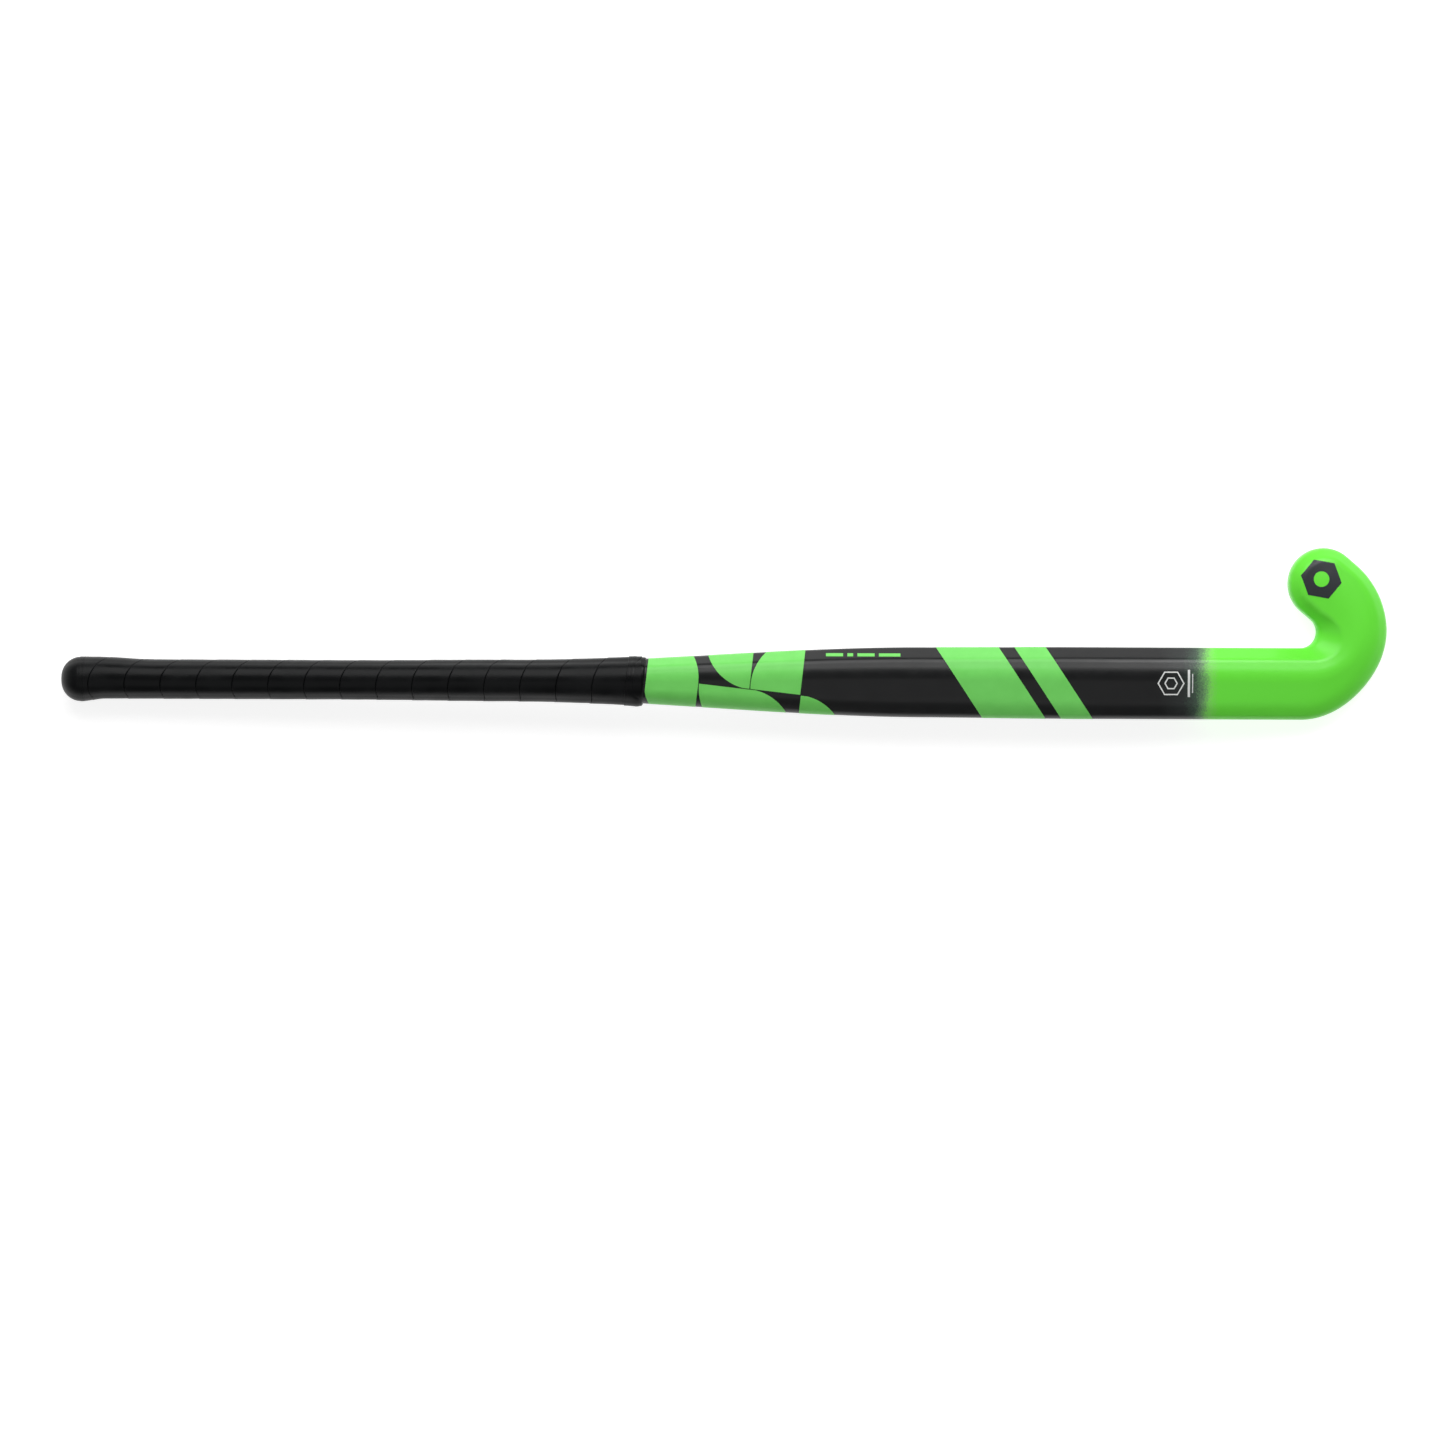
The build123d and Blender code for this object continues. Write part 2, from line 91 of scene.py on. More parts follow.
handle = section(24.0, 27.0, (5.0, 18.0, 1.5), (5.0, 18.0, 1.5), 1.0, (8.5, 12, 8, 12, 8, 12))
neck = section(25.6, 26.0, (5.0, 16.5, 1.5), (5.4, 16.5, 1.7), 1.5, (7.5, 10, 7, 14, 9, 12))
shaft = section(49.0, 22.0, (8.4, 9.5, 2.4), (9.0, 11.0, 4.6), 6.0, (4.0, 4, 7, 40, 25, 8))
blade = section(50.2, 21.5, (8.4, 9.5, 2.4), (9.0, 11.0, 4.6), 6.0, (3.5, 4, 7, 40, 25, 8))
hook = section(50.0, 21.5, (17.0, 9.0, 2.0), (10.0, 11.0, 3.4), -4.0, (3.5, 8, 9, 40, 25, 9))
toe = section(50.0, 20.5, (7.5, 10.5, 2.2), (7.5, 10.5, 2.2), 0.0, (3.5, 7, 8, 60, 8, 7))
shaftWaypoints = [(0.0, handle), (201.5, handle), (313.5, neck), (603.5, shaft), (713.0, blade)]
hookWaypoints = [(0.0, blade), (75.0, hook), (140.0, toe)]


def ease(t):  # 0 to 1 with a soft start and end
    t = np.clip(t, 0, 1)
    return t * t * (3 - 2 * t)


def mix(a, b, t):
    if isinstance(a, dict):
        return {key: mix(a[key], b[key], t) for key in a}
    if isinstance(a, tuple):
        return tuple(mix(p, q, t) for p, q in zip(a, b))
    return a + (b - a) * t


def between(waypoints, along):  # the section at a place between two waypoints
    for (start, first), (end, second) in zip(waypoints, waypoints[1:]):
        if along <= end:
            return mix(first, second, ease((along - start) / (end - start)))
    return waypoints[-1][1]


half = stick["length"] / 2
buttX = stick["flangeAndCap"] - half
flatX = half - stick["headFlat"]
bowX = half - stick["bowFromHeel"]
riseRun = stick["bowFromHeel"] - stick["headFlat"]
pitch = 2 * math.atan(stick["bowDepth"] / (2 * stick["headFlat"] + riseRun))
riseRadius = riseRun / math.sin(pitch)
heelTouch = hook["radii"][0] * (math.sin(pitch) + math.cos(pitch) - 1) + stick["heelLean"] * math.tan(pitch)
bowZ = stick["headFlat"] * math.tan(pitch) + riseRadius * (1 - math.cos(pitch)) - heelTouch
sinkRun, sink = bowX - buttX, bowZ - stick["buttLift"]
sinkRadius = (sinkRun ** 2 + sink ** 2) / (2 * sink)
crotchX = half - stick["heelLean"] - (stick["crotchRadius"] + hook["width"]) * math.cos(pitch)
crotchY = blade["width"] / 2 + stick["crotchRadius"]
turnAll = math.radians(stick["hookTurn"])
toeY = crotchY + stick["toeReach"] * math.sin(turnAll)
toeY -= (stick["crotchRadius"] + toe["width"] / 2) * math.cos(turnAll)
axisY = -(toeY + toe["width"] / 2 - blade["width"] / 2) / 2


def faceLine(x):  # height and pitch of the flat face, in the middle of the shaft
    if x >= flatX:
        return (half - x) * math.tan(pitch) - heelTouch, pitch
    radius = riseRadius if x > bowX else sinkRadius
    lean = math.asin((x - bowX) / radius)
    return bowZ - radius * (1 - math.cos(lean)), lean


def shaftPlane(x):
    height, lean = faceLine(x)
    return Matrix.Translation((x, axisY, height)) @ Matrix.Rotation(lean, 4, "Y")


headPlane = Matrix.Translation((crotchX, axisY, faceLine(crotchX)[0])) @ Matrix.Rotation(pitch, 4, "Y")


def shaftSection(x):
    return between(shaftWaypoints, x + half)


def hookSection(turn):  # turn in degrees round the hook; the heel is flattened halfway round its corner
    s = dict(between(hookWaypoints, turn * hookWaypoints[-1][0] / stick["hookTurn"]))
    s["width"] -= stick["heelFlattening"] * math.sin(math.pi * min(turn / stick["heelTurn"], 1.0)) ** 2
    return s


def hookPlane(turn, reach=0.0):
    radius = stick["crotchRadius"] + hookSection(turn)["width"] / 2
    a = math.radians(turn)
    x = radius * math.sin(a) + reach * math.cos(a)
    y = crotchY - radius * math.cos(a) + reach * math.sin(a)
    return headPlane @ Matrix.Translation((x, y, 0)) @ Matrix.Rotation(a, 4, "Z")


def ringPoints(s, grow=0.0, arcSteps=8, flats=(9, 3, 5, 10)):
    # from the middle of the face round by the toe side: rounded corners with straight runs between
    toeBevel, toeWall, toeDrop = s["toe"]
    heelBevel, heelWall, heelDrop = s["heel"]
    wide, top = s["width"] / 2, s["thickness"]
    points = np.array([(wide, 0), (wide, toeWall), (wide - toeBevel, top - toeDrop), (s["crown"], top),
                       (heelBevel - wide, top - heelDrop), (-wide, heelWall), (-wide, 0)], float)
    faceRound, toeRound, toeShoulder, crownRound, heelShoulder, heelRound = s["radii"]
    radii = grow + np.array([faceRound, toeRound, toeShoulder, crownRound, heelShoulder, heelRound,
                             faceRound])
    along = np.roll(points, -1, 0) - points
    lengths = np.linalg.norm(along, axis=1)
    after = along / lengths[:, None]
    before = np.roll(after, 1, 0)
    dot = (after * before).sum(1)
    # sides move out by grow along the bisector of their outward normals
    outward = np.stack([after[:, 1] + before[:, 1], -(after[:, 0] + before[:, 0])], 1)
    points = points + outward * (grow / (1 + dot))[:, None]
    lengths = np.linalg.norm(np.roll(points, -1, 0) - points, axis=1)
    turn = np.arccos(np.clip(dot, -1, 1))
    room = 0.46 * np.minimum(lengths, np.roll(lengths, 1))
    radii = np.maximum(0.4, np.minimum(radii, room / np.tan(turn / 2)))
    cut = radii * np.tan(turn / 2)
    arcs = []
    for i in range(7):
        start = points[i] - before[i] * cut[i]
        centre = start + np.array([-before[i][1], before[i][0]]) * radii[i]
        first = math.atan2(-before[i][0], before[i][1])
        angles = first + turn[i] * np.arange(arcSteps + 1) / arcSteps
        arcs.append(centre + radii[i] * np.stack([np.cos(angles), np.sin(angles)], 1))
    face, wall, bevel, back = flats
    counts = [wall, bevel, back, back, bevel, wall]
    middle = (arcs[6][-1] + arcs[0][0]) / 2
    share = (np.arange(face) / face)[:, None]
    ring = [middle + (arcs[0][0] - middle) * share]
    for i in range(7):
        ring.append(arcs[i])
        if i < 6:
            share = (np.arange(1, counts[i]) / counts[i])[:, None]
            ring.append(arcs[i][-1] + (arcs[i + 1][0] - arcs[i][-1]) * share)
    share = (np.arange(1, face) / face)[:, None]
    ring.append(arcs[6][-1] + (middle - arcs[6][-1]) * share)
    return np.concatenate(ring)


def place(matrix, ring):  # a flat outline stood up across the stick
    m = np.array(matrix)
    flat = np.stack([np.zeros(len(ring)), ring[:, 0], ring[:, 1], np.ones(len(ring))])
    return (m @ flat)[:3].T


def meshFrom(name, points, faces, material, sharp=40.0):
    mesh = bpy.data.meshes.new(name)
    mesh.from_pydata([tuple(p) for p in np.asarray(points) * mm], [], faces)
    mesh.validate()
    mesh.polygons.foreach_set("use_smooth", [True] * len(mesh.polygons))
    mesh.set_sharp_from_angle(angle=math.radians(sharp))
    mesh.materials.append(material)
    piece = bpy.data.objects.new(name, mesh)
    bpy.context.scene.collection.objects.link(piece)
    return piece


def facesOutward(piece):
    turned = bmesh.new()
    turned.from_mesh(piece.data)
    bmesh.ops.recalc_face_normals(turned, faces=turned.faces)
    turned.to_mesh(piece.data)
    turned.free()


def bridge(rings, count, closed=True):  # quads between equal rings laid one after another
    faces = []
    for r in range(rings - 1):
        for i in range(count if closed else count - 1):
            j = (i + 1) % count
            faces.append((r * count + i, r * count + j, (r + 1) * count + j, (r + 1) * count + i))
    return faces


# the laminate body
body = dict(ringSpacing=2.5, hookStep=2.0, toeSteps=60)

lacquer = dict(black="#0c0d0e", haze="#232827", mist="#3d5143", edgeOfPaint="#669460", brightEdge="#7ddb5a",
               green="#69e63c", fadeStart=304.0, fadeEnd=348.0, driftMm=16.7, driftReach=6.0, dropletMm=0.77,
               sprayReach=12.0, peelMm=1.6, peelDepth=0.004, rubbedMm=14.0)


def makeLacquer():
    # Sprayed two-colour lacquer: black fading softly into green, as an airbrush leaves it, under a satin coat.
    material, tree, shader, coords = newMaterial("sprayedLacquer", Roughness=0.34, IOR=1.5,
                                                 Specular_IOR_Level=0.32, Coat_Weight=0.14, Coat_Roughness=0.16)
    split = addNode(tree, "ShaderNodeSeparateXYZ", {"Vector": coords})
    drift = addNode(tree, "ShaderNodeTexNoise", {"Vector": coords},
                    {"Scale": 1 / (lacquer["driftMm"] * mm), "Detail": 2.0})
    wander = addNode(tree, "ShaderNodeMath", {0: drift.outputs["Fac"]}, {1: 0.5}, operation="SUBTRACT")
    shift = addNode(tree, "ShaderNodeMath", {0: wander.outputs[0], 2: split.outputs["X"]},
                    {1: lacquer["driftReach"] * mm}, operation="MULTIPLY_ADD")
    # overspray in the fade, its droplets drawn coarser than the real tenth of a millimetre so that they show
    mist = addNode(tree, "ShaderNodeTexNoise", {"Vector": coords},
                   {"Scale": 1 / (lacquer["dropletMm"] * mm), "Detail": 1.0})
    speckle = addNode(tree, "ShaderNodeMath", {0: mist.outputs["Fac"]}, {1: 0.5}, operation="SUBTRACT")
    grain = addNode(tree, "ShaderNodeMath", {0: speckle.outputs[0], 2: shift.outputs[0]},
                    {1: lacquer["sprayReach"] * mm}, operation="MULTIPLY_ADD")
    fade = addNode(tree, "ShaderNodeMapRange", {"Value": grain.outputs[0]},
                   {"From Min": lacquer["fadeStart"] * mm, "From Max": lacquer["fadeEnd"] * mm})
    ramp = addNode(tree, "ShaderNodeValToRGB", {"Fac": fade.outputs["Result"]})
    stops = ((0.0, "black"), (0.4, "haze"), (0.57, "mist"), (0.69, "edgeOfPaint"), (0.8, "brightEdge"),
             (0.93, "green"))
    rampStops(ramp, [(share, linear(lacquer[paint])) for share, paint in stops])
    tree.links.new(ramp.outputs["Color"], shader.inputs["Base Color"])
    # rubbed patches from handling, a little duller than the rest
    rubbed = addNode(tree, "ShaderNodeTexNoise", {"Vector": coords},
                     {"Scale": 1 / (lacquer["rubbedMm"] * mm), "Detail": 5.0, "Roughness": 0.65})
    sheen = addNode(tree, "ShaderNodeMapRange", {"Value": rubbed.outputs["Fac"]},
                    {"From Min": 0.35, "From Max": 0.7, "To Min": 0.29, "To Max": 0.4})
    tree.links.new(sheen.outputs["Result"], shader.inputs["Roughness"])
    peel = addNode(tree, "ShaderNodeTexNoise", {"Vector": coords},
                   {"Scale": 1 / (lacquer["peelMm"] * mm), "Detail": 1.0})
    bump = addNode(tree, "ShaderNodeBump", {"Height": peel.outputs["Fac"]},
                   {"Strength": 0.25, "Distance": lacquer["peelDepth"] * mm})
    tree.links.new(bump.outputs["Normal"], shader.inputs["Normal"])
    return material


def makeBody():
    xs = list(np.arange(buttX, flatX, body["ringSpacing"])) + [flatX, (flatX + crotchX) / 2]
    rings = [place(shaftPlane(x), ringPoints(shaftSection(x))) for x in xs]
    turns = np.arange(0.0, stick["hookTurn"] + 0.1, body["hookStep"])
    rings += [place(hookPlane(t), ringPoints(hookSection(t))) for t in turns]
    end = stick["hookTurn"]
    reaches = np.linspace(0, stick["toeReach"], 5)[1:]
    rings += [place(hookPlane(end, reach), ringPoints(hookSection(end))) for reach in reaches]
    count = len(rings[0])
    points = list(np.concatenate(rings))
    faces = bridge(len(rings), count)
    # the butt end closes with one face, under the cap
    faces.append(tuple(reversed(range(count))))
    # round of the toe: the heel-side half of the last outline turns about the middle of the toe
    last = (len(rings) - 1) * count
    crown, bottom = last + count // 2, last
    outline = ringPoints(toe)[count // 2:]
    outline = np.concatenate([outline, ringPoints(toe)[:1]])
    centre = hookPlane(end, stick["toeReach"])
    rows = [[last + count // 2 + i for i in range(count // 2)] + [bottom]]
    for step in range(1, body["toeSteps"]):
        turned = centre @ Matrix.Rotation(math.pi * step / body["toeSteps"], 4, "Z")
        row = [crown]
        for point in place(turned, outline)[1:-1]:
            row.append(len(points))
            points.append(point)
        rows.append(row + [bottom])
    rows.append([last + count // 2 - i for i in range(count // 2 + 1)])
    for one, two in zip(rows, rows[1:]):
        for i in range(count // 2):
            corners = [one[i], one[i + 1], two[i + 1], two[i]]
            corners = [c for k, c in enumerate(corners) if c != corners[k - 1]]
            faces.append(tuple(corners))
    piece = meshFrom("laminateBody", points, faces, makeLacquer())
    facesOutward(piece)
    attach(piece, "root")
    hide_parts("outer_shell")
    return piece


laminateBody = makeBody()
print("laminate body made", len(laminateBody.data.vertices), "points")

# film graphics: each is a patch of the back, lifted off the body and cut along its outline seen from above
film = dict(lift=0.15, thickness=0.11, aboveFace=5.0, spacing=1.0)
vinyl = dict(green="#77da66", greenWorn="#72d561", white="#e4e6e4", whiteWorn="#d8dbd8", grey="#33363a",
             greyWorn="#2d3033", cloudMm=11.1, inkMm=1.11, inkDepth=0.005)


def rectangle(left, right, low, high):
    return [(left, low), (right, low), (right, high), (left, high)]


def regular(radius, sides, at=(0.0, 0.0), turn=0.0):
    angles = [turn + 2 * math.pi * i / sides for i in range(sides)]
    return [(at[0] + radius * math.cos(a), at[1] + radius * math.sin(a)) for a in angles]


def overlap(outline, limit):  # the part of one convex outline inside another
    for (ax, ay), (bx, by) in zip(limit, limit[1:] + limit[:1]):
        kept = []
        sides = [(bx - ax) * (y - ay) - (by - ay) * (x - ax) for x, y in outline]
        for i, point in enumerate(outline):
            before, last = outline[i - 1], sides[i - 1]
            if (sides[i] >= 0) != (last >= 0):
                t = last / (last - sides[i])
                kept.append((before[0] + (point[0] - before[0]) * t, before[1] + (point[1] - before[1]) * t))
            if sides[i] >= 0:
                kept.append(point)
        outline = kept
    return outline


def insideOf(outline, x, y):
    return all((bx - ax) * (y - ay) - (by - ay) * (x - ax) > 0
               for (ax, ay), (bx, by) in zip(outline, outline[1:] + outline[:1]))


def backPatch(start, end):  # the back of the shaft from one place to another, as points with their quads
    rings = []
    for x in np.linspace(start, end, max(2, round((end - start) / film["spacing"]) + 1)):
        ring = ringPoints(shaftSection(x), film["lift"], arcSteps=10, flats=(2, 8, 8, 22))
        rings.append(place(shaftPlane(x), ring[ring[:, 1] > 2.0]))
    lowest = min(len(r) for r in rings)
    rings = [r[:lowest] for r in rings]
    return np.concatenate(rings), bridge(len(rings), lowest, closed=False)


def toePatch():  # the flat middle of the toe's back
    grid = np.linspace(-22, 22, 67)
    end = hookPlane(stick["hookTurn"], stick["toeReach"])
    heights = ringPoints(toe, film["lift"])
    heights = heights[heights[:, 1] > 12]
    order = np.argsort(heights[:, 0])
    points = []
    for along in grid:
        for across in grid:
            off = math.hypot(max(along, 0.0), across)
            height = np.interp(off, heights[order, 0], heights[order, 1])
            points.append(end @ Vector((along, across, height)))
    return np.array([tuple(p) for p in points]), bridge(len(grid), len(grid), closed=False)


def cutFilm(name, patch, shapes, frameAt, material, trimmed=True):
    # shapes are pairs of an outline and a hole or None, in millimetres in the x and y of frameAt
    whole = bmesh.new()
    back = frameAt.inverted()
    for outline, hole in shapes:
        part = bmesh.new()
        vertices = [part.verts.new(tuple(back @ Vector(tuple(p)))) for p in patch[0]]
        for face in patch[1]:
            part.faces.new([vertices[i] for i in face])

        def cut(edge, clear):
            (ax, ay), (bx, by) = edge
            geometry = part.verts[:] + part.edges[:] + part.faces[:]
            bmesh.ops.bisect_plane(part, geom=geometry, dist=1e-4, plane_co=(ax, ay, 0),
                                   plane_no=(by - ay, ax - bx, 0), clear_outer=clear)

        for edge in zip(outline, outline[1:] + outline[:1]):
            cut(edge, True)
        if hole:
            for edge in zip(hole, hole[1:] + hole[:1]):
                cut(edge, False)
            gone = [f for f in part.faces if insideOf(hole, *f.calc_center_median()[:2])]
            bmesh.ops.delete(part, geom=gone, context="FACES")
        if trimmed:  # nothing reaches below the plane of frameAt
            geometry = part.verts[:] + part.edges[:] + part.faces[:]
            bmesh.ops.bisect_plane(part, geom=geometry, dist=1e-4, plane_co=(0, 0, 0.01),
                                   plane_no=(0, 0, 1), clear_inner=True)
        bmesh.ops.dissolve_degenerate(part, dist=1e-4, edges=part.edges[:])
        joined = bpy.data.meshes.new("part")
        part.to_mesh(joined)
        part.free()
        whole.from_mesh(joined)
        bpy.data.meshes.remove(joined)
    whole.transform(Matrix.Scale(mm, 4) @ frameAt)
    bmesh.ops.recalc_face_normals(whole, faces=whole.faces)
    if sum(f.normal.z * f.calc_area() for f in whole.faces) < 0:
        bmesh.ops.reverse_faces(whole, faces=whole.faces)
    mesh = bpy.data.meshes.new(name)
    whole.to_mesh(mesh)
    whole.free()
    mesh.polygons.foreach_set("use_smooth", [True] * len(mesh.polygons))
    mesh.materials.append(material)
    piece = bpy.data.objects.new(name, mesh)
    bpy.context.scene.collection.objects.link(piece)
    solid = piece.modifiers.new("thickness", "SOLIDIFY")
    solid.thickness, solid.offset = film["thickness"] * mm, -1
    applyModifiers(piece)
    piece.data.set_sharp_from_angle(angle=math.radians(50))
    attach(piece, "root")
    return piece


def applyModifiers(piece):
    made = bpy.data.meshes.new_from_object(piece.evaluated_get(bpy.context.evaluated_depsgraph_get()))
    piece.modifiers.clear()
    old, piece.data = piece.data, made
    bpy.data.meshes.remove(old)
    made.name = piece.name


def makeFilmPaint(name, hexColour, hexWorn):
    # Screen-printed vinyl film: even satin colour, faintly cloudy and a little uneven where the ink dried.
    material, tree, shader, coords = newMaterial(name, Roughness=0.36, IOR=1.48, Specular_IOR_Level=0.24,
                                                 Coat_Weight=0.12, Coat_Roughness=0.2)
    cloud = addNode(tree, "ShaderNodeTexNoise", {"Vector": coords},
                    {"Scale": 1 / (vinyl["cloudMm"] * mm), "Detail": 3.0})
    ramp = addNode(tree, "ShaderNodeValToRGB", {"Fac": cloud.outputs["Fac"]})
    rampStops(ramp, [(0.3, linear(hexWorn)), (0.7, linear(hexColour))])
    tree.links.new(ramp.outputs["Color"], shader.inputs["Base Color"])
    ink = addNode(tree, "ShaderNodeTexNoise", {"Vector": coords},
                  {"Scale": 1 / (vinyl["inkMm"] * mm), "Detail": 1.0})
    bump = addNode(tree, "ShaderNodeBump", {"Height": ink.outputs["Fac"]},
                   {"Strength": 0.2, "Distance": vinyl["inkDepth"] * mm})
    tree.links.new(bump.outputs["Normal"], shader.inputs["Normal"])
    return material


def above(x, slant=0.0):  # a plane just over the face near x, for outlines seen from above
    turned = Matrix.Rotation(math.radians(slant), 4, "Z")
    return Matrix.Translation((x, axisY, faceLine(x)[0] + film["aboveFace"])) @ turned


tiles = dict(
    petal=34.6, slant=-6.5, pitch=35.8, firstColumn=-17.5, row=-3.35, lifted=4.8, space=0.6, start=-58.0,
    firstEdge=[(-22.0, -60.0), (0.0, -60.0), (0.0, 60.0), (-54.3, 60.0), (-54.3, -13.5), (-53.1, -17.3),
               (-50.5, -21.5)],  # what the finishing band leaves of the first tile
)


def makeTiles(green):
    side = blade["width"]
    lines = [tiles["firstColumn"] + i * tiles["pitch"] for i in range(3)]
    space, row, disc = tiles["space"] / 2, tiles["row"], tiles["petal"]
    upper, lower = row + space, row - space
    start, end = [x - space for x in lines], [x + space for x in lines]
    # each tile as cells (left, right, low, high), rounded off by a disc about the point that follows, if any
    cellsOfTiles = [
        [((-90.0, start[0], row, side), (start[0] - disc, row)), ((-90.0, start[0], -side, row), None)],
        [((end[0], start[1], upper, side), (lines[1], row + disc))],
        [((end[1], start[2], upper, side), (end[1] + disc, row + tiles["lifted"]))],
        [((end[0], lines[1], -side, lower), (end[0] + disc, row)),
         ((lines[1], start[2], -side, lower), (lines[1], row - disc))],
        [((end[2], end[2] + disc, -side, lower), (end[2], row - disc))],
    ]
    frameAt = above(0.0, tiles["slant"])
    for number, cells in enumerate(cellsOfTiles):
        outlines = [overlap(regular(disc, 120, middle), rectangle(*cell)) if middle else rectangle(*cell)
                    for cell, middle in cells]
        if number == 0:
            outlines = [overlap(outline, tiles["firstEdge"]) for outline in outlines]
        xs = [(frameAt @ Vector((x, y, 0))).x for outline in outlines for x, y in outline]
        patch = backPatch(max(min(xs) - 2, tiles["start"]), max(xs) + 2)
        shapes = [(outline, None) for outline in outlines]
        piece = cutFilm("tileFilm%d" % (number + 1), patch, shapes, frameAt, green)
        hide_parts("tile_film_%d" % (number + 1))


bands = dict(slant=0.66, wideX=164.0, wide=44.0, narrowX=219.0, narrow=22.0)


def makeBands(green):
    side = blade["width"]
    shift = bands["slant"] * side
    for name, node, x, width in (
            ("wideBandFilm", "wide_band_film", bands["wideX"], bands["wide"]),
            ("narrowBandFilm", "narrow_band_film", bands["narrowX"], bands["narrow"])):
        outline = [(shift, -side), (shift + width, -side), (width - shift, side), (-shift, side)]
        piece = cutFilm(name, backPatch(x - 22, x + width + 22), [(outline, None)], above(x), green)
        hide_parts(node)


dashRow = dict(x=95.0, low=17.9, high=20.1, dashes=((-18.0, 12.0), (-7.0, 4.0), (4.0, 12.0), (20.5, 15.0)))


def makeDashes(green):
    outlines = [rectangle(x - long / 2, x + long / 2, dashRow["low"], dashRow["high"])
                for x, long in dashRow["dashes"]]
    patch = backPatch(dashRow["x"] - 35, dashRow["x"] + 35)
    shapes = [(outline, None) for outline in outlines]
    piece = cutFilm("dashFilm", patch, shapes, above(dashRow["x"]), green)
    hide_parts("dash_film")


badge = dict(x=312.0, across=19.0, line=1.0)


def makeBadge(white):
    outer, line = badge["across"] / 2, badge["line"]
    shapes = [(regular(outer, 6), regular(outer - line, 6)),
              (regular(outer / 2, 6), regular(outer / 2 - line, 6)),
              (rectangle(outer + 2.2, outer + 3.8, -outer, outer), None),
              (rectangle(outer + 5.25, outer + 5.95, -outer * 0.7, outer * 0.7), None)]
    patch = backPatch(badge["x"] - 13, badge["x"] + 20)
    piece = cutFilm("badgeFilm", patch, shapes, above(badge["x"]), white)
    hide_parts("badge_film")


toeMark = dict(radius=14.5, hole=5.5, inset=5.0)


def makeToeMark(grey):
    reach = stick["toeReach"] + toeMark["inset"]
    markAt = hookPlane(stick["hookTurn"], reach) @ Matrix.Rotation(math.pi / 2, 4, "Z")
    shapes = [(regular(toeMark["radius"], 6), regular(toeMark["hole"], 48))]
    piece = cutFilm("toeMarkFilm", toePatch(), shapes, markAt, grey, trimmed=False)
    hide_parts("toe_mark_film")


greenVinyl = makeFilmPaint("printedGreenVinyl", vinyl["green"], vinyl["greenWorn"])
whiteVinyl = makeFilmPaint("printedWhiteVinyl", vinyl["white"], vinyl["whiteWorn"])
greyVinyl = makeFilmPaint("printedGreyVinyl", vinyl["grey"], vinyl["greyWorn"])
makeTiles(greenVinyl)
makeBands(greenVinyl)
makeDashes(greenVinyl)
makeBadge(whiteVinyl)
makeToeMark(greyVinyl)
print("films made")

# the handle: wound tape, cap and finishing band
grip = dict(
    bed=0.45, tape=1.45, lapStep=0.18, pitch=24.8, firstSeam=-439.8, start=-446.4, stop=-57.4,
    rowsPerTurn=144, grooveDeep=0.75, grooveWide=0.75, edgeRound=0.3, unevenness=0.04,
    toeSwell=1.7, toeSwellX=-438.0, toeSwellRun=42.0, heelSwell=2.0, heelSwellX=-449.0, heelSwellRun=17.0,
    bowOut=(8.5, 4.0), bowX=-440.0, bowRun=365.0,
    crownPad=(0.9, 2.2), padX=-300.0, padRun=150.0, padReach=0.17,
    low="#0b0c0d", high="#121314", roughness=0.34, cloudMm=22.2, dimpleMm=0.9, dimpleDeep=0.05,
)
toeMiddle, heelMiddle = 0.25, 0.75  # shares of the way round, from the middle of the face by the toe side
gripStep, gripAround = 2.0, 256
gripXs = np.arange(-466.0, -40.0, gripStep)
gripFs = np.arange(gripAround + 1) / gripAround


def ringByLength(ring):  # the outline as evenly spaced points, with its outward normals
    closed = np.concatenate([ring, ring[:1]])
    run = np.concatenate([[0], np.cumsum(np.linalg.norm(np.diff(closed, axis=0), axis=1))])
    run /= run[-1]
    even = np.stack([np.interp(gripFs, run, closed[:, k]) for k in (0, 1)], 1)
    along = np.roll(even[:-1], -1, 0) - np.roll(even[:-1], 1, 0)
    along = np.concatenate([along, along[:1]])
    outward = np.stack([along[:, 1], -along[:, 0]], 1)
    return even, outward / np.linalg.norm(outward, axis=1)[:, None]


handleRings = [ringByLength(ringPoints(shaftSection(max(x, buttX)))) for x in gripXs]
handleEven = np.array([r[0] for r in handleRings])
handleOut = np.array([r[1] for r in handleRings])


def onHandle(xs, fs, heights):  # points over the bare handle, at places along it and shares round it
    fs = np.mod(fs, 1.0)
    i = np.clip((xs - gripXs[0]) / gripStep, 0, len(gripXs) - 1.001)
    j = fs * gripAround
    i0, j0 = i.astype(int), np.minimum(j.astype(int), gripAround - 1)
    a, b = (i - i0)[:, None], (j - j0)[:, None]

    def look(table):
        low = table[i0, j0] * (1 - b) + table[i0, j0 + 1] * b
        high = table[i0 + 1, j0] * (1 - b) + table[i0 + 1, j0 + 1] * b
        return low * (1 - a) + high * a

    out = look(handleOut)
    spot = look(handleEven) + out / np.linalg.norm(out, axis=1)[:, None] * heights[:, None]
    lines = np.array([faceLine(x) for x in xs])
    sin, cos = np.sin(lines[:, 1]), np.cos(lines[:, 1])
    return np.stack([xs + spot[:, 1] * sin, axisY + spot[:, 0], lines[:, 0] + spot[:, 1] * cos], 1)


def heelShare(fs):  # 0 in the middle of the toe side, 1 in the middle of the heel side
    return 0.5 - 0.5 * np.cos(2 * math.pi * (fs - toeMiddle))


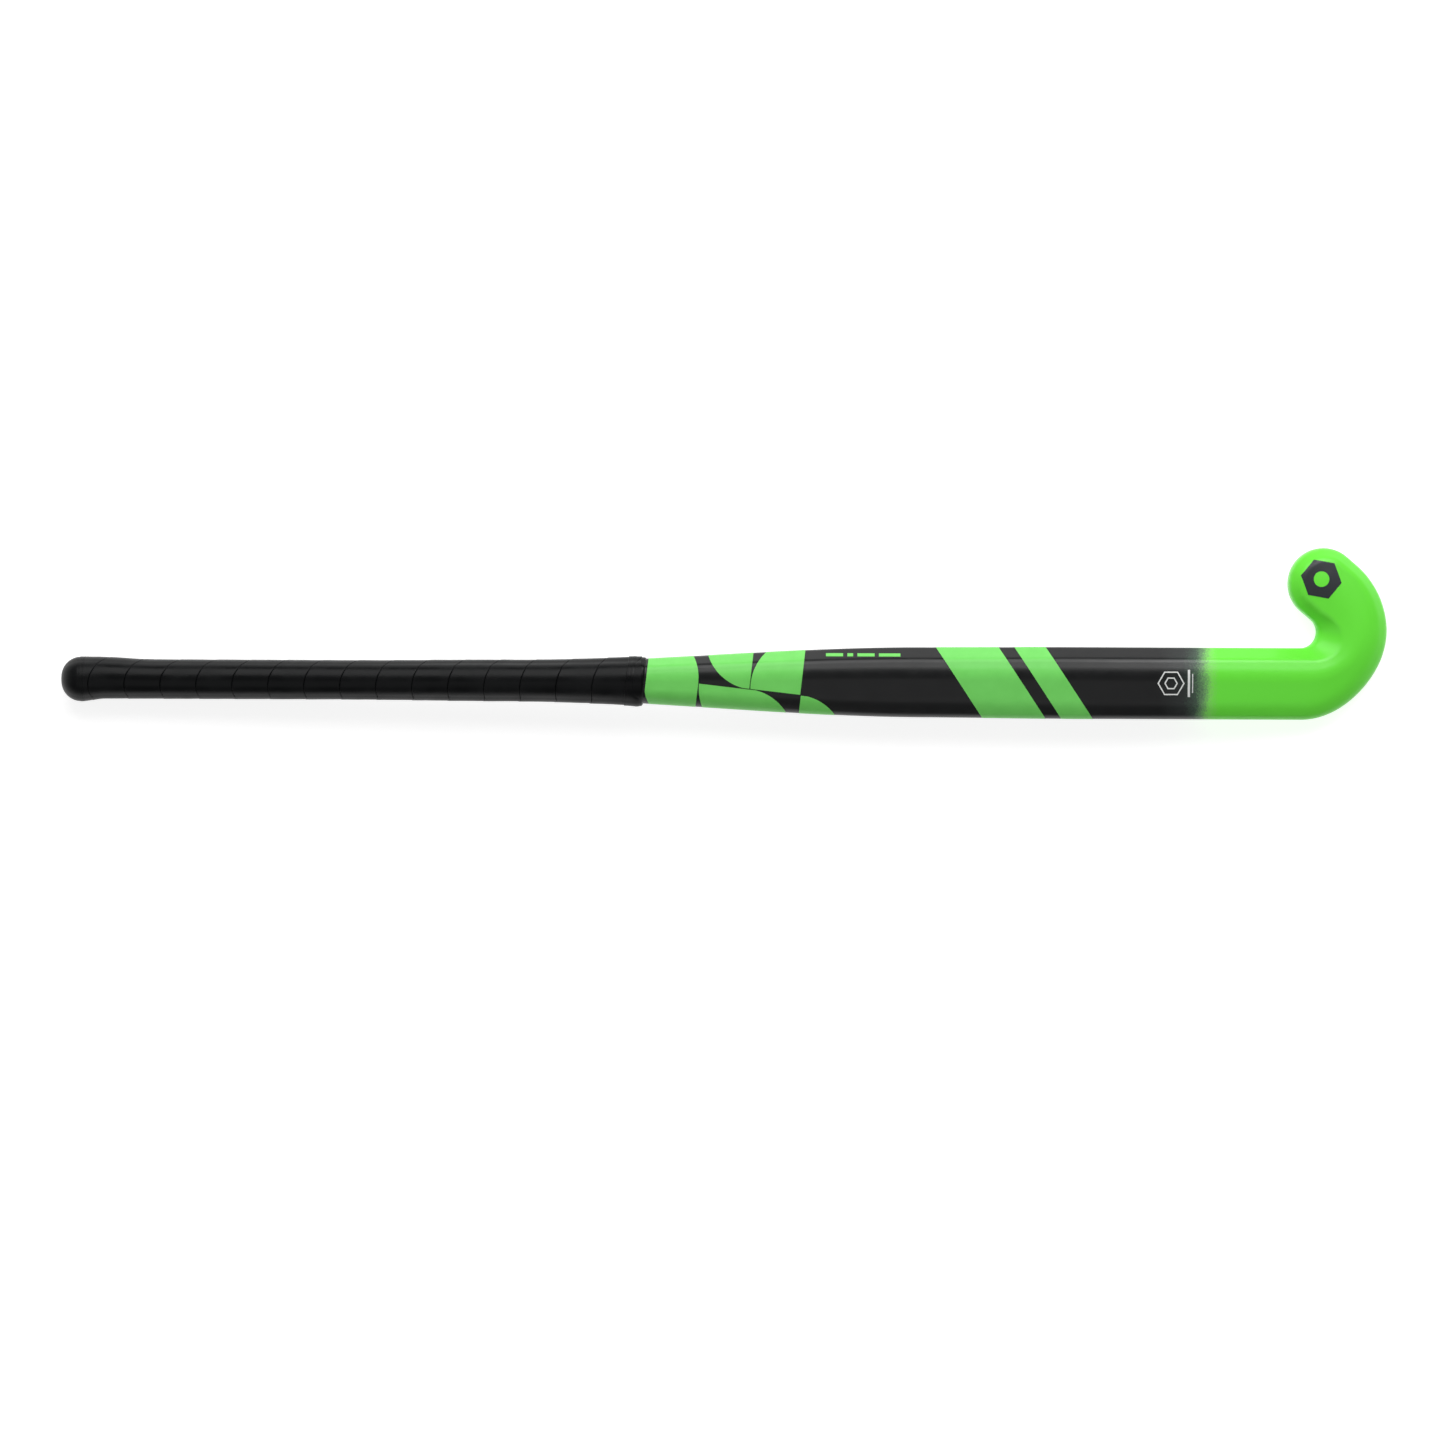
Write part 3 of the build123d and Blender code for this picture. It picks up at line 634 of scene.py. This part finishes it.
def swellAt(xs, fs):  # the swelling at the end of the handle
    onToe = grip["toeSwell"] * (1 - ease((xs - grip["toeSwellX"]) / grip["toeSwellRun"]))
    onHeel = grip["heelSwell"] * (1 - ease((xs - grip["heelSwellX"]) / grip["heelSwellRun"]))
    share = heelShare(fs)
    return onToe * (1 - share) + onHeel * share


def tapeHeight(xs, fs):
    # hand-wound tape is never quite even
    uneven = np.sin(xs * 0.31 + 5 * np.sin(2 * math.pi * fs + xs * 0.05))
    uneven = uneven * np.sin(xs * 0.113 + 4 * math.pi * fs)
    # a soft ridge along the back, taller towards the shaft
    ridge = mix(*grip["crownPad"], ease((xs - grip["padX"]) / grip["padRun"]))
    pad = ridge * np.cos(np.clip((np.mod(fs, 1.0) - 0.5) / grip["padReach"], -1, 1) * math.pi / 2) ** 2
    return grip["bed"] + grip["tape"] + pad + swellAt(xs, fs) + grip["unevenness"] * uneven


def seamX(turns):  # where the edge of the tape runs, counted in turns from the first
    share = np.mod(heelMiddle - turns, 1.0)
    x = grip["firstSeam"] + grip["pitch"] * turns
    bow = mix(*grip["bowOut"], np.clip((x - grip["bowX"]) / grip["bowRun"], 0, 1))
    across = np.clip((share - toeMiddle) / (heelMiddle - toeMiddle), 0, 1)
    return x - bow * np.sin(math.pi * across) ** 2


def makeGripRubber(name, look):
    # Soft black skin with a low satin sheen: cloudy patches a little greyer and duller, over fine dimples.
    material, tree, shader, coords = newMaterial(name, Roughness=look["roughness"], IOR=1.5,
                                                 Specular_IOR_Level=0.13)
    cloud = addNode(tree, "ShaderNodeTexNoise", {"Vector": coords},
                    {"Scale": 1 / (look["cloudMm"] * mm), "Detail": 4.0})
    ramp = addNode(tree, "ShaderNodeValToRGB", {"Fac": cloud.outputs["Fac"]})
    rampStops(ramp, [(0.35, linear(look["low"])), (0.65, linear(look["high"]))])
    tree.links.new(ramp.outputs["Color"], shader.inputs["Base Color"])
    worn = addNode(tree, "ShaderNodeMapRange", {"Value": cloud.outputs["Fac"]},
                   {"From Min": 0.35, "From Max": 0.65,
                    "To Min": look["roughness"] - 0.05, "To Max": look["roughness"] + 0.08})
    tree.links.new(worn.outputs["Result"], shader.inputs["Roughness"])
    dimples = addNode(tree, "ShaderNodeTexVoronoi", {"Vector": coords},
                      {"Scale": 1 / (look["dimpleMm"] * mm)})
    bump = addNode(tree, "ShaderNodeBump", {"Height": dimples.outputs["Distance"]},
                   {"Strength": 0.6, "Distance": look["dimpleDeep"] * mm})
    tree.links.new(bump.outputs["Normal"], shader.inputs["Normal"])
    return material


def makeTape(material):
    across = np.concatenate([np.array([0.0, 0.08, 0.2, 0.35, 0.6, 1.0, 2.0]) / grip["pitch"],
                             np.linspace(3.5, grip["pitch"] - 3.5, 10) / grip["pitch"],
                             1 - np.array([2.0, 1.2, 0.8, 0.5, 0.3, 0.15, 0.0]) / grip["pitch"]])
    perTurn = grip["rowsPerTurn"]
    turnsToStop = (grip["stop"] - grip["firstSeam"]) / grip["pitch"]
    turns = np.arange(-2 * perTurn, round(turnsToStop * perTurn) + perTurn) / perTurn
    row, column = np.meshgrid(turns, across, indexing="ij")
    row, column = row.ravel(), column.ravel()
    xs = seamX(row) * (1 - column) + seamX(row + 1) * column
    xs = np.clip(xs, grip["start"], grip["stop"])
    fs = np.mod(heelMiddle - row, 1.0)
    fromEdge, toNext = column * grip["pitch"], (1 - column) * grip["pitch"]
    rounding = grip["edgeRound"] * (1 - np.sqrt(1 - np.clip(1 - fromEdge / grip["edgeRound"], 0, 1) ** 2))
    groove = grip["grooveDeep"] * np.clip(1 - toNext / grip["grooveWide"], 0, 1)
    heights = tapeHeight(xs, fs) - grip["lapStep"] * column - rounding - groove
    points = onHandle(xs, fs, heights)
    count = len(across)
    faces = bridge(len(turns), count, closed=False)
    # the lip between the end of one turn and the start of the next
    for i in range(len(turns) - perTurn):
        a, b = i * count + count - 1, (i + perTurn) * count
        faces.append((a, b, b + count, a + count) if i + perTurn + 1 < len(turns) else (a, b, b))
    # what is wound past either end is cut away
    faces = [f for f in faces if len(set(f)) > 2
             and max(xs[i] for i in f) > grip["start"] and min(xs[i] for i in f) < grip["stop"]]
    piece = meshFrom("gripTape", points, faces, material, sharp=60)
    tidy = bmesh.new()
    tidy.from_mesh(piece.data)
    bmesh.ops.remove_doubles(tidy, verts=tidy.verts, dist=2e-6)
    bmesh.ops.dissolve_degenerate(tidy, dist=1e-6, edges=tidy.edges)
    bmesh.ops.recalc_face_normals(tidy, faces=tidy.faces)
    tidy.to_mesh(piece.data)
    tidy.free()
    piece.data.set_sharp_from_angle(angle=math.radians(60))
    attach(piece, "root")
    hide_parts("grip_tape")
    return piece


cap = dict(length=14.7, squareness=0.43, groove=-450.9, grooveDeep=0.16, grooveWide=0.5, grooveShare=0.01,
           skirt=-446.5, under=0.05, around=160,
           low="#0b0c0d", high="#101112", roughness=0.36, cloudMm=22.2, dimpleMm=0.7, dimpleDeep=0.02)


def makeCap(material):
    domeX, around = cap["length"] - half, cap["around"]
    fs = np.arange(around) / around
    rings = []
    for x in np.arange(cap["skirt"], domeX - 0.01, -0.25):
        xs = np.full(around, x)
        dip = cap["grooveDeep"] * np.exp(-((xs - cap["groove"]) / cap["grooveWide"]) ** 2)
        rings.append(onHandle(xs, fs, tapeHeight(xs, fs) - cap["under"] - dip))
    base = rings[-1]
    middle = base.mean(0)
    for t in np.sin(np.linspace(0, math.pi / 2, 40)[1:-1]):
        x = domeX - cap["length"] * t
        shrink = (1 - t * t) ** cap["squareness"]
        shrink *= 1 - cap["grooveShare"] * math.exp(-((x - cap["groove"]) / cap["grooveWide"]) ** 2)
        ring = middle + (base - middle) * shrink
        ring[:, 0] = x
        rings.append(ring)
    points = list(np.concatenate(rings))
    faces = bridge(len(rings), around)
    tip = len(points)
    points.append(np.array([-half, middle[1], middle[2]]))
    last = (len(rings) - 1) * around
    faces += [(last + i, last + (i + 1) % around, tip) for i in range(around)]
    # the rim, turned in towards the handle
    inner = len(points)
    xs = np.full(around, cap["skirt"])
    points += list(onHandle(xs, fs, tapeHeight(xs, fs) - grip["tape"]))
    faces += [((i + 1) % around, i, inner + i, inner + (i + 1) % around) for i in range(around)]
    piece = meshFrom("buttCap", points, faces, material, sharp=50)
    if wrongWay(piece):
        piece.data.flip_normals()
    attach(piece, "root")
    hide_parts("butt_cap")


def wrongWay(piece):  # True if the faces look inwards
    centre = sum((v.co for v in piece.data.vertices), Vector()) / len(piece.data.vertices)
    return sum((p.center - centre).dot(p.normal) * p.area for p in piece.data.polygons) < 0


band = dict(startX=-68.0, startSlant=1.8, endX=-55.4, endSlant=1.2, over=0.35, onToe=1.05, onHeel=2.5,
            edge=0.3, creaseAt=2.5, creaseDeep=0.12, creaseWide=0.25, flat=3.2, lip=2.2, lipMore=3.2,
            around=192, low="#0a0b0c", high="#0f1011", roughness=0.32, cloudMm=22.2, dimpleMm=1.4,
            dimpleDeep=0.02)


def makeBand(material):
    around = band["around"]
    fs = np.arange(around) / around
    share = heelShare(fs)
    starts = band["startX"] + band["startSlant"] * (1 - 2 * share)
    ends = band["endX"] + band["endSlant"] * (1 - 2 * share)
    full = tapeHeight(np.full(around, -70.0), fs) - grip["lapStep"] * 0.5 + band["over"]
    last = band["onToe"] * (1 - share) + band["onHeel"] * share
    lows = tapeHeight(starts, fs) - grip["lapStep"] - 0.05
    rings = [onHandle(starts, fs, lows)]
    # up over its rounded edge, then along the tape with one crease
    for d in (0.0, 0.06, 0.15, 0.3, 0.6, 1.2, 2.0, 2.25, 2.5, 2.75, 3.2):
        rise = math.sqrt(1 - (1 - min(d / band["edge"], 1)) ** 2)
        crease = band["creaseDeep"] * math.exp(-((d - band["creaseAt"]) / band["creaseWide"]) ** 2)
        rings.append(onHandle(starts + d, fs, lows + (full - lows) * rise - crease))
    # down past the end of the tape to the rounded lip on the shaft
    firsts = starts + band["flat"]
    for t in np.linspace(0, 1, 24)[1:]:
        xs = firsts + (ends - firsts) * t
        heights = full + (last - full) * ease((t - 0.1) / 0.6)
        lip = band["lip"] + band["lipMore"] * share
        roundness = np.clip((xs - (ends - lip)) / lip, 0, 1)
        heights = 0.15 + (heights - 0.15) * np.sqrt(1 - roundness ** 2 * 0.96)
        rings.append(onHandle(xs, fs, heights))
    # and back underneath
    rings.append(onHandle(ends, fs, np.full(around, 0.02)))
    rings.append(onHandle(starts, fs, np.full(around, 0.2)))
    count = len(rings)
    points = np.concatenate(rings)
    faces = bridge(count, around)
    first = (count - 1) * around
    faces += [(first + i, first + (i + 1) % around, (i + 1) % around, i) for i in range(around)]
    piece = meshFrom("finishingBand", points, faces, material, sharp=50)
    facesOutward(piece)
    piece.data.set_sharp_from_angle(angle=math.radians(50))
    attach(piece, "root")
    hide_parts("finishing_band")


# Dimpled polyurethane: cushioned tape with a fine pattern of dimples that breaks up its sheen.
makeTape(makeGripRubber("dimpledPolyurethane", grip))
# Moulded rubber: smoother and a little duller, with a faint grain from the mould.
makeCap(makeGripRubber("mouldedRubberCap", cap))
# Stretched vinyl: the blackest and smoothest of the three, pulled tight so that its grain is wide.
makeBand(makeGripRubber("stretchedVinylBand", band))
print("grip made")

# the pieces inside, which keep their designed shape
inside = dict(
    braid=dict(low="#17181a", high="#303236", roughness=0.4, sizeMm=3.0, deepMm=0.1),
    foam=dict(low="#b8a97c", high="#e2d8b4", roughness=0.85, sizeMm=1.1, deepMm=0.2),
    nylon=dict(low="#1d1e20", high="#2b2d30", roughness=0.55, sizeMm=6.0, deepMm=0.03),
    rubber=dict(low="#222222", high="#343434", roughness=0.8, sizeMm=1.1, deepMm=0.05),
    adhesive=dict(low="#9a8a5a", high="#c9bb8b", roughness=0.3, sizeMm=6.0, deepMm=0.02),
)


def dressNode(name, material):
    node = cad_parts[name]
    node.data.materials.clear()
    node.data.materials.append(material)


def makeInnerMaterial(name, look, pattern, **texture):
    material, tree, shader, coords = newMaterial(name, Roughness=look["roughness"], IOR=1.5)
    grain = addNode(tree, pattern, {"Vector": coords}, {"Scale": 1 / (look["sizeMm"] * mm)}, **texture)
    height = grain.outputs["Distance" if "Distance" in grain.outputs else "Fac"]
    ramp = addNode(tree, "ShaderNodeValToRGB", {"Fac": height})
    rampStops(ramp, [(0.25, linear(look["low"])), (0.7, linear(look["high"]))])
    tree.links.new(ramp.outputs["Color"], shader.inputs["Base Color"])
    bump = addNode(tree, "ShaderNodeBump", {"Height": height},
                   {"Strength": 0.5, "Distance": look["deepMm"] * mm})
    tree.links.new(bump.outputs["Normal"], shader.inputs["Normal"])
    return material


# Braided carbon: dark tows crossing on the slant, with a slight ridge at each.
braid = makeInnerMaterial("braidedCarbon", inside["braid"], "ShaderNodeTexWave", bands_direction="DIAGONAL")
# Closed-cell foam: cream cells about a millimetre across, with darker walls between.
foam = makeInnerMaterial("closedCellFoam", inside["foam"], "ShaderNodeTexVoronoi")
# Injection-moulded nylon: grey-black with faint flow streaks and a matt skin.
nylon = makeInnerMaterial("mouldedNylon", inside["nylon"], "ShaderNodeTexNoise")
# Cast rubber: dull charcoal with fine pits.
rubber = makeInnerMaterial("castRubber", inside["rubber"], "ShaderNodeTexVoronoi")
# Rolled acrylic adhesive: amber and fairly glossy, streaked by the roller.
glue = makeInnerMaterial("rolledAdhesive", inside["adhesive"], "ShaderNodeTexNoise")
for nodeName, inner in (("toe_side_tube", braid), ("heel_side_tube", braid), ("head_core", foam),
                        ("butt_plug", nylon), ("pommel_sleeve", rubber), ("grip_adhesive", glue)):
    dressNode(nodeName, inner)
print("inner pieces dressed")

# floor, lights and camera
stage = dict(
    viewWidth=1010.2, cameraHeight=14000.0, centreX=-1.0, centreY=-63.7, roll=0.25, aimHeight=20.0,
    ambient=0.19, floorPaint="#bfbfbf", floorGlow=0.8, floorReach=6.0, floorDrop=0.3,
    softboxes=(("keySoftbox", (0.2, 1.5, 1.6), (3.2, 1.7), 51),  # name, place in metres, size, watts
               ("fillSoftbox", (-0.2, -1.05, 1.9), (3.0, 0.9), 4.2),
               ("headSoftbox", (0.75, 1.5, 1.6), (0.5, 1.2), 8)),
)


def addSoftbox(name, at, size, power):
    light = bpy.data.lights.new(name, "AREA")
    light.shape, light.size, light.size_y, light.energy = "RECTANGLE", size[0], size[1], power
    lamp = bpy.data.objects.new(name, light)
    lamp.location = at
    lamp.rotation_mode = "QUATERNION"
    lamp.rotation_quaternion = (Vector((0, 0, 0)) - Vector(at)).to_track_quat("-Z", "Y")
    bpy.context.scene.collection.objects.link(lamp)


def makeStage():
    # Matt painted floor: pale and even, with a glow of its own that keeps the shadow faint.
    material = newMaterial("mattPaintedFloor", Roughness=0.85, Base_Color=linear(stage["floorPaint"]),
                           Emission_Color=linear("#ffffff"), Emission_Strength=stage["floorGlow"])[0]
    reach = stage["floorReach"]
    floor = bpy.data.meshes.new("floor")
    floor.from_pydata([(-reach, -reach, 0), (reach, -reach, 0), (reach, reach, 0), (-reach, reach, 0)], [],
                      [(0, 1, 2, 3)])
    floor.materials.append(material)
    plane = bpy.data.objects.new("floor", floor)
    plane.location.z = -stage["floorDrop"] * mm
    bpy.context.scene.collection.objects.link(plane)

    world = bpy.data.worlds.new("studio")
    bpy.context.scene.world = world
    world.use_nodes = True
    background = world.node_tree.nodes["Background"]
    background.inputs["Color"].default_value = (1, 1, 1, 1)
    background.inputs["Strength"].default_value = stage["ambient"]
    for softbox in stage["softboxes"]:
        addSoftbox(*softbox)

    camera = bpy.data.cameras.new("camera")
    camera.sensor_width = 36
    camera.lens = 36 * (stage["cameraHeight"] - stage["aimHeight"]) / stage["viewWidth"]
    camera.clip_end = 50
    eye = bpy.data.objects.new("camera", camera)
    eye.location = (stage["centreX"] * mm, stage["centreY"] * mm, stage["cameraHeight"] * mm)
    eye.rotation_euler = (0, 0, math.radians(stage["roll"]))
    bpy.context.scene.collection.objects.link(eye)
    bpy.context.scene.camera = eye
    bpy.context.scene.view_settings.view_transform = "Standard"


makeStage()
print("stage made")
